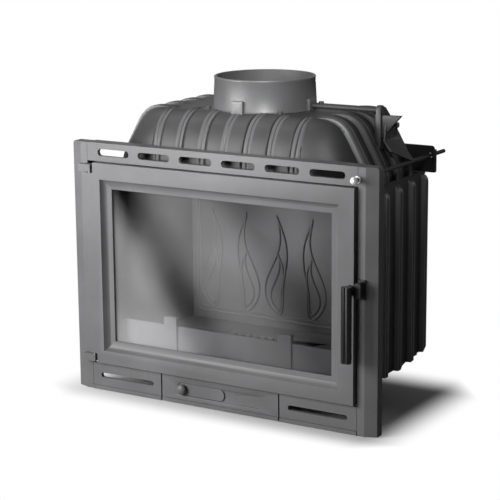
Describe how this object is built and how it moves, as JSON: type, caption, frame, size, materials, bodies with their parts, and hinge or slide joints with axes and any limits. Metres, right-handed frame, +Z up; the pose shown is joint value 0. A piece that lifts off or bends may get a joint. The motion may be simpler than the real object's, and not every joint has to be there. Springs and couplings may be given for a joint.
{
  "type": "fireplace insert",
  "caption": "Cast-iron fireplace insert with a flat surround, glazed hinged door, ribbed firebox, smoke hood, round flue collar with a damper, ash drawer and air slide.",
  "frame": {"origin": "on the hearth, on the underside of the ash box, straight below the middle of the flue collar", "axes": "+X to the viewer's right along the surround, +Y backwards into the chimney, +Z up"},
  "size_m": [0.69, 0.41, 0.644],
  "materials": {
    "casting": "grey iron casting with a satin graphite coat",
    "lining": "bare dark iron casting",
    "steel": "plain machined steel",
    "bright_plating": "bright nickel plating",
    "black_paint": "heat-proof black paint",
    "glass": "clear heat-proof ceramic glass",
    "seal_rope": "woven glass-fibre rope"
  },
  "bodies": {
    "stove": {"surround_left_column": "casting", "surround_right_column": "casting", "surround_top_bar": "casting", "lower_left_vent_panel": "casting", "lower_right_vent_panel": "casting", "upper_hinge_block": "casting", "lower_hinge_block": "casting", "upper_hinge_pin": "steel", "lower_hinge_pin": "steel", "latch_keeper": "black_paint", "damper_rod_bush": "bright_plating", "firebox_front": "casting", "left_side_plate": "casting", "right_side_plate": "casting", "back_plate": "casting", "base_plate": "casting", "hearth_floor": "lining", "grate": "lining", "left_lining_plate": "lining", "right_lining_plate": "lining", "fireback": "lining", "smoke_baffle": "lining", "log_retainer": "lining", "ash_box": "casting", "smoke_hood": "casting", "flue_collar": "casting", "collar_bolt_1": "steel", "collar_bolt_2": "steel", "collar_bolt_3": "steel", "collar_bolt_4": "steel", "damper_rod_guide": "casting"},
    "door": {"door_frame": "casting", "door_glass": "glass", "glass_clip_lower_left": "steel", "glass_clip_lower_right": "steel", "glass_clip_upper_left": "steel", "glass_clip_upper_right": "steel", "door_seal": "seal_rope"},
    "handle": {"door_handle": "black_paint", "handle_spindle": "steel", "handle_nut": "steel"},
    "ash_drawer": {"ash_drawer_front": "casting", "ash_pan": "steel"},
    "air_control": {"air_slide": "casting", "air_slide_knob": "casting"},
    "damper": {"damper_shaft": "steel", "damper_flap": "casting", "damper_crank": "casting", "crank_pin": "steel"},
    "damper_pull": {"damper_rod": "steel", "damper_knob": "bright_plating", "damper_driver": "casting"}
  },
  "joints": [
    {"name": "door_swing", "type": "hinge", "parent": "stove", "child": "door", "pos_m": [-0.297, -0.19, 0.267], "axis": [0, 0, -1], "range_deg": [0, 115]},
    {"name": "handle_turn", "type": "hinge", "parent": "door", "child": "handle", "pos_m": [0.296, -0.2, 0.283], "axis": [0, 1, 0], "range_deg": [0, 90]},
    {"name": "drawer_slide", "type": "slide", "parent": "stove", "child": "ash_drawer", "axis": [0, -1, 0], "range_m": [0, 0.2]},
    {"name": "air_slide_move", "type": "slide", "parent": "ash_drawer", "child": "air_control", "axis": [1, 0, 0], "range_m": [0, 0.085]},
    {"name": "damper_turn", "type": "hinge", "parent": "stove", "child": "damper", "pos_m": [0, 0, 0.59], "axis": [-1, 0, 0], "range_deg": [0, 72]},
    {"name": "damper_pull_slide", "type": "slide", "parent": "stove", "child": "damper_pull", "axis": [0, -1, 0], "range_m": [0, 0.055]}
  ],
  "couplings": [
    {"joint": "damper_pull_slide", "follows": "damper_turn", "m_per_rad": 0.043766}
  ]
}
